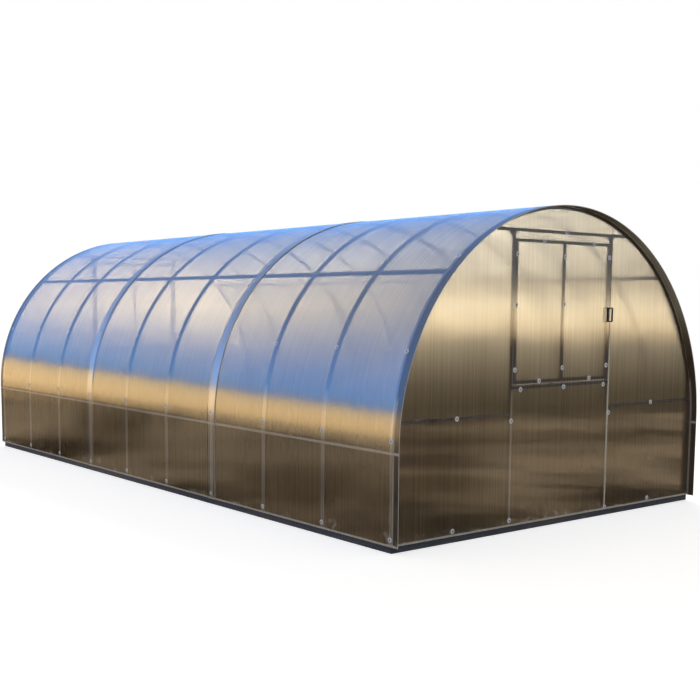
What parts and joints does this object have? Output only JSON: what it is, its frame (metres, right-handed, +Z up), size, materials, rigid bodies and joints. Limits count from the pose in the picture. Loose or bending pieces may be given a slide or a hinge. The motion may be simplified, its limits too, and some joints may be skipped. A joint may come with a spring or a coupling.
{
  "type": "arched polycarbonate greenhouse",
  "caption": "Arched walk-in garden greenhouse: bent square-tube frame on a dark base rail, bronze twin-wall sheets bent over it, flat ends with a hinged vent window.",
  "frame": {"origin": "centre of the ground footprint, on the underside of the base rails", "axes": "+X across the width, +Y along the length towards the back end, +Z up"},
  "size_m": [3.018, 6.12, 2.1288],
  "materials": {
    "galvanised_tube": "galvanised",
    "base_steel": "satin",
    "bronze_sheet": "clear bronze twin-wall",
    "black_plastic": "satin"
  },
  "bodies": {
    "root": {"arch_1": "galvanised_tube", "arch_10": "galvanised_tube", "arch_2": "galvanised_tube", "arch_3": "galvanised_tube", "arch_4": "galvanised_tube", "arch_5": "galvanised_tube", "arch_6": "galvanised_tube", "arch_7": "galvanised_tube", "arch_8": "galvanised_tube", "arch_9": "galvanised_tube", "back_base_rail": "base_steel", "back_bottom_rail": "galvanised_tube", "back_lintel": "galvanised_tube", "back_mid_rails": "galvanised_tube", "back_narrow_panel": "bronze_sheet", "back_posts": "galvanised_tube", "back_sill": "galvanised_tube", "back_wide_panel": "bronze_sheet", "back_window_frame": "galvanised_tube", "back_window_handle": "black_plastic", "back_window_hinges": "galvanised_tube", "back_window_pane": "bronze_sheet", "base_rail_left": "base_steel", "base_rail_right": "base_steel", "front_base_rail": "base_steel", "front_bottom_rail": "galvanised_tube", "front_lintel": "galvanised_tube", "front_mid_rails": "galvanised_tube", "front_narrow_panel": "bronze_sheet", "front_posts": "galvanised_tube", "front_sill": "galvanised_tube", "front_wide_panel": "bronze_sheet", "front_window_frame": "galvanised_tube", "front_window_handle": "black_plastic", "front_window_hinges": "galvanised_tube", "front_window_pane": "bronze_sheet", "lower_purlin_left": "galvanised_tube", "lower_purlin_right": "galvanised_tube", "roof_purlin_left": "galvanised_tube", "roof_purlin_right": "galvanised_tube", "roof_sheet_1": "bronze_sheet", "roof_sheet_2": "bronze_sheet", "roof_sheet_3": "bronze_sheet"}
  },
  "joints": []
}
